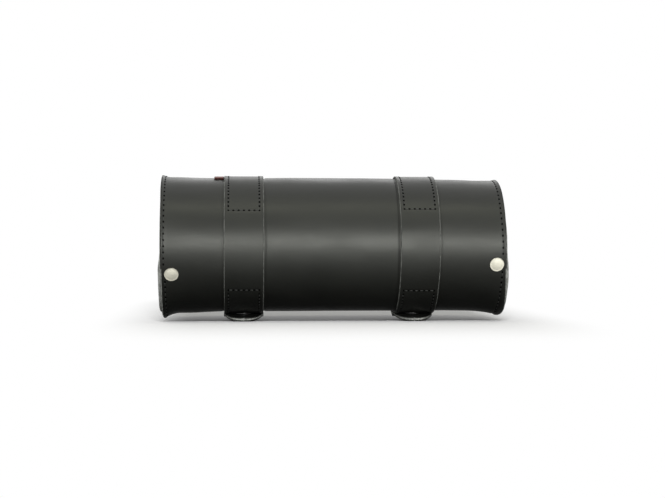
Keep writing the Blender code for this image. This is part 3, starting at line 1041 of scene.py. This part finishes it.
def thread_points(start, end, out, radius):
    """One stitch: a soft arch of thread that dips into a hole at each end."""
    sides = 8
    steps = 8
    along = (end - start).normalized()
    across = along.cross(out).normalized()
    points = []
    for i in range(steps + 1):
        share = i / steps
        rise = radius * 1.7 * (1 - (2 * share - 1) ** 4) - radius * 1.2
        fat = radius * (0.75 + 0.25 * math.sin(math.pi * share))
        centre = start.lerp(end, 0.17 + 0.66 * share) + out * rise
        for j in range(sides):
            turn = math.tau * j / sides
            points.append(centre + across * (fat * 1.15 * math.cos(turn)) + out * (fat * math.sin(turn)))
    return points, tube_faces(sides, steps + 1)


def hole_points(place, along, out):
    """A needle hole: a small lens in the seam's groove, painted black as the shade inside the hole."""
    across = along.cross(out).normalized()
    sides = 12
    length = NEEDLE_HOLE
    width = NEEDLE_HOLE * 0.94
    points = [place + out * 0.00030]
    for level, share in ((0.00026, 0.60), (0.00008, 1.0)):
        for j in range(sides):
            turn = math.tau * j / sides
            step = along * (length / 2 * share * math.cos(turn))
            step += across * (width / 2 * share * math.sin(turn))
            points.append(place + step + out * level)
    points.append(place - out * 0.0006)
    faces = []
    for j in range(sides):
        k = (j + 1) % sides
        faces.append((0, 1 + j, 1 + k))
        faces.append((1 + j, 1 + sides + j, 1 + sides + k, 1 + k))
        faces.append((1 + sides + j, 1 + 2 * sides, 1 + sides + k))
    return points, faces


def sew(name, rows, body):
    """All stitches of some rows as one piece, and their holes in the same piece."""
    points = []
    faces = []
    slots = []

    def add(part, number):
        base = len(points)
        points.extend(part[0])
        faces.extend(tuple(base + i for i in face) for face in part[1])
        slots.extend([number] * len(part[1]))

    for row in rows:
        for place, along, out in row:
            add(hole_points(place, along, out), 1)
        for (start, _, out), (end, _, other) in zip(row, row[1:]):
            add(thread_points(start, end, (out + other).normalized(), THREAD), 0)
    made = mesh_of(name, points, faces, (THREAD_BLACK, HOLE_PAINTED_SHADE), slots, 60.0)
    if body == "barrel":
        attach(made, "barrel")
    else:
        bend_with(made)


def sew_ends():
    """The seams that hold the end caps, and the line that goes on along the flap's sides."""
    for side in SIDES:
        rivet = RIVET_ANGLES[side]

        def line(angle):
            return seam_x(side, angle)

        def surface(angle):
            return BODY_RADIUS + sheet_shape(line(angle), angle) + seam_dent(line(angle), angle)

        upper = row_around(line, surface, rivet - 9.0, BACK_JOIN, SEAM_PITCH)
        lower = row_around(line, surface, rivet + 7.0, FLAP_EDGE - 18.0, SEAM_PITCH)
        sew(f"end_seam_front_{side}", [upper, lower], "front_flap")
        last = PANEL_EDGE - 360 + 3.0
        back = row_around(line, surface, BACK_JOIN, last, SEAM_PITCH)
        inside = row_around(line, lambda angle: CAP_WALL_INNER, rivet - 9.0, last, SEAM_PITCH)
        inside = [(place, along, -out) for place, along, out in inside]
        sew(f"end_seam_back_{side}", [back, inside], "barrel")


def sew_straps():
    """The stitch boxes: one over the top and down the back, and one that holds the end to the flap."""
    for side in SIDES:
        centre = STRAP_PLACES[side]
        inset = STRAP_WIDTH / 2 - BOX_INSET
        ends = (centre - inset, centre + inset)
        dent = strap_dent(side)
        wave = strap_wave(side)
        top = BOX_TOPS[side]
        low = BOX_LOWS[side]
        rows = []
        for angle in (top, low):

            def across(x):
                return STRAP_OUTER + wave(x, angle) + dent(x, angle)

            rows.append(row_across(angle, across, *ends, BOX_PITCH))
        back = []
        for x in ends:
            groove = STRAP_OUTER + dent(x, top - 10)

            def line(angle):
                return x

            def surface(angle):
                return groove + wave(x, angle)

            rows.append(row_around(line, surface, top, BACK_JOIN, BOX_PITCH)[1:])
            rows.append(row_around(line, surface, low, FLAP_EDGE - 6.0, BOX_PITCH)[1:])
            back.append(row_around(line, surface, BACK_JOIN, BACK_BOX_END, BOX_PITCH))
        sew(f"strap_stitches_front_{side}", rows, "front_flap")
        back.append(row_across(BACK_BOX_END, lambda x: STRAP_OUTER - 0.0001, *ends, BOX_PITCH))
        sew(f"strap_stitches_back_{side}", back, "barrel")


def sew_lip():
    half = HALF - DISH - CAP_THICKNESS - 0.006
    rows = [row_across(LIP_EDGE + 4.0, lambda x: LIP_OUTER, -half, half, SEAM_PITCH)]
    sew("lip_stitches", rows, "barrel")


# Stage


def seen_rays(tree):
    """1 for the rays that see the background: from the camera, and off or through shiny things."""
    rays = new_node(tree, "LightPath").outputs
    seen = rays["Is Camera Ray"]
    for kind in ("Is Glossy Ray", "Is Transmission Ray"):
        seen = new_node(tree, "Math", seen, rays[kind], operation="MAXIMUM").outputs["Value"]
    return seen


def mixed(tree, share, first, second):
    return new_node(tree, "MixShader", share, first, second).outputs["Shader"]


def beyond_patch(tree, middle, kept, sideways, first, last):
    """0 on a patch of the floor, rising to 1 between two distances from it."""
    place = new_node(tree, "TexCoord").outputs["Object"]
    start = (-sideways * middle[0], -middle[1], 0.0)
    edge = (sideways * kept[0], kept[1], 0.0)
    beyond = new_node(tree, "Mapping", Vector=place, Location=start, Scale=(sideways, 1.0, 0.0))
    for operation, *value in (("ABSOLUTE",), ("SUBTRACT", edge), ("MAXIMUM", (0.0, 0.0, 0.0))):
        beyond = new_node(tree, "VectorMath", beyond.outputs["Vector"], *value, operation=operation)
    length = new_node(tree, "VectorMath", beyond.outputs["Vector"], operation="LENGTH")
    far = new_node(tree, "MapRange", Value=length.outputs["Value"], From_Min=first, From_Max=last)
    far.interpolation_type = "SMOOTHSTEP"
    return far.outputs["Result"]


def make_floor():
    """A pale, slightly glossy floor that keeps the roll's shadow and turns white further away."""
    data = bpy.data.meshes.new("floor")
    corners = [(x * FLOOR_HALF, y * FLOOR_HALF, 0) for x, y in ((-1, -1), (1, -1), (1, 1), (-1, 1))]
    data.from_pydata(corners, [], [(0, 1, 2, 3)])
    floor = add_object("floor", data)
    made = bpy.data.materials.new("pale_floor")
    made.use_nodes = True
    tree = made.node_tree
    tree.nodes.clear()
    # Rays other than the camera's see the floor nearly black, except where it turns white in reflections:
    # painted shade.
    plain = new_node(tree, "BsdfPrincipled", Base_Color=FLOOR_PAINTED_SHADE, Roughness=FLOOR_ROUGH)
    bright = new_node(tree, "BsdfDiffuse", Color=FLOOR_SEEN).outputs["BSDF"]
    white = new_node(tree, "Emission").outputs["Emission"]
    far = beyond_patch(tree, *MIRRORED_FADE)
    mirrored = new_node(tree, "Math", far, seen_rays(tree), operation="MULTIPLY")
    others = mixed(tree, mirrored.outputs["Value"], plain.outputs["BSDF"], white)
    seen = mixed(tree, beyond_patch(tree, *FLOOR_FADE), bright, white)
    camera_ray = new_node(tree, "LightPath").outputs["Is Camera Ray"]
    new_node(tree, "OutputMaterial", Surface=mixed(tree, camera_ray, others, seen))
    data.materials.append(made)


def make_world():
    """A white backdrop that adds only a little light of its own."""
    world = bpy.data.worlds.new("studio")
    bpy.context.scene.world = world
    world.use_nodes = True
    tree = world.node_tree
    tree.nodes.clear()
    lit = new_node(tree, "Background", Color=1.0, Strength=WORLD_LIGHT).outputs["Background"]
    seen = new_node(tree, "Background", Color=1.0, Strength=1.0).outputs["Background"]
    new_node(tree, "OutputWorld", Surface=mixed(tree, seen_rays(tree), lit, seen))


def area_light(name, turn, rise, size, power, colour=(1.0, 1.0, 1.0)):
    """A soft box that faces the roll, at this many degrees to the right of the front and above the floor."""
    data = bpy.data.lights.new(name, "AREA")
    data.shape = "RECTANGLE"
    data.size, data.size_y = size
    data.energy = power
    data.color = colour
    lamp = add_object(name, data)
    side = math.radians(turn)
    up = math.radians(rise)
    toward = Vector((math.sin(side) * math.cos(up), -math.cos(side) * math.cos(up), math.sin(up)))
    lamp.location = Vector((0, 0, AXIS_Z)) + toward * LIGHT_DISTANCE
    lamp.rotation_euler = toward.to_track_quat("Z", "Y").to_euler()
    return lamp


LIGHT_DISTANCE = 2.3
# Soft boxes: turn, rise, width and height, power, and for one a slightly warm colour
LIGHTS = {
    "low_front_box": (0, 0, (1.8, 0.22), 20.0),
    "front_box": (0, 8, (1.8, 0.22), 9.0),
    "side_box": (36, 4, (1.2, 0.20), 12.0),
    "upper_front_box": (0, 16, (2.2, 0.36), 4.4),
    "high_box": (0, 65, (2.2, 0.36), 6.2, (1.0, 1.0, 0.84)),
    "back_box": (0, 150, (2.6, 0.50), 7.0),
}
# Lights the floor and matt surfaces alone, and throws the roll's shadow back
FILL_LIGHT = (-2, 29, (0.45, 0.35), 47.0)
WORLD_LIGHT = 0.32
FLOOR_HALF = 8.0
# The floor as reflections and bounce light see it: nearly black, a painted shade for the roll's shadow on the
# floor near it.
FLOOR_PAINTED_SHADE = 0.06
FLOOR_ROUGH = 0.30
FLOOR_SEEN = 0.82
# The floor keeps its shadow on a patch under and behind the roll and turns white further away, once for the
# camera and once in reflections: the patch's middle and half size, how much more a distance counts sideways,
# and the distances where the white starts and is full.
FLOOR_FADE = ((0.010, 0.200), (0.120, 0.200), 3.8, 0.06, 0.40)
MIRRORED_FADE = ((0.0, 0.200), (0.150, 0.200), 3.3, 0.02, 0.21)

# The photograph's view: a long lens at axis height, a little to the left of square
VIEW_TURN = 3.53
VIEW_DISTANCE = 1.364
FOCAL_PIXELS = 1500.0
FRAME_WIDTH = 665
SENSOR = 36.0
AIM_X = 0.00255
AIM_BELOW_AXIS = 0.0041


def make_camera():
    data = bpy.data.cameras.new("camera")
    data.sensor_width = SENSOR
    data.lens = SENSOR * FOCAL_PIXELS / FRAME_WIDTH
    camera = add_object("camera", data)
    turn = math.radians(VIEW_TURN)
    aim = Vector((AIM_X, 0, AXIS_Z - AIM_BELOW_AXIS))
    camera.location = aim + Vector((-math.sin(turn), -math.cos(turn), 0)) * VIEW_DISTANCE
    camera.rotation_euler = (math.pi / 2, 0, -turn)
    bpy.context.scene.camera = camera


def main():
    make_camera()
    make_sheet()
    make_lip()
    for side in SIDES:
        make_end_cap(side)
        make_strap(side)
        make_tongue(side)
        make_rivet(side)
        make_closure_cap(side)
    make_tab()
    finish_small_parts()
    sew_ends()
    sew_straps()
    sew_lip()
    make_floor()
    make_world()
    for name, values in LIGHTS.items():
        area_light(name, *values)
    area_light("fill_box", *FILL_LIGHT).visible_glossy = False
    bpy.context.scene.view_settings.view_transform = "Standard"


main()
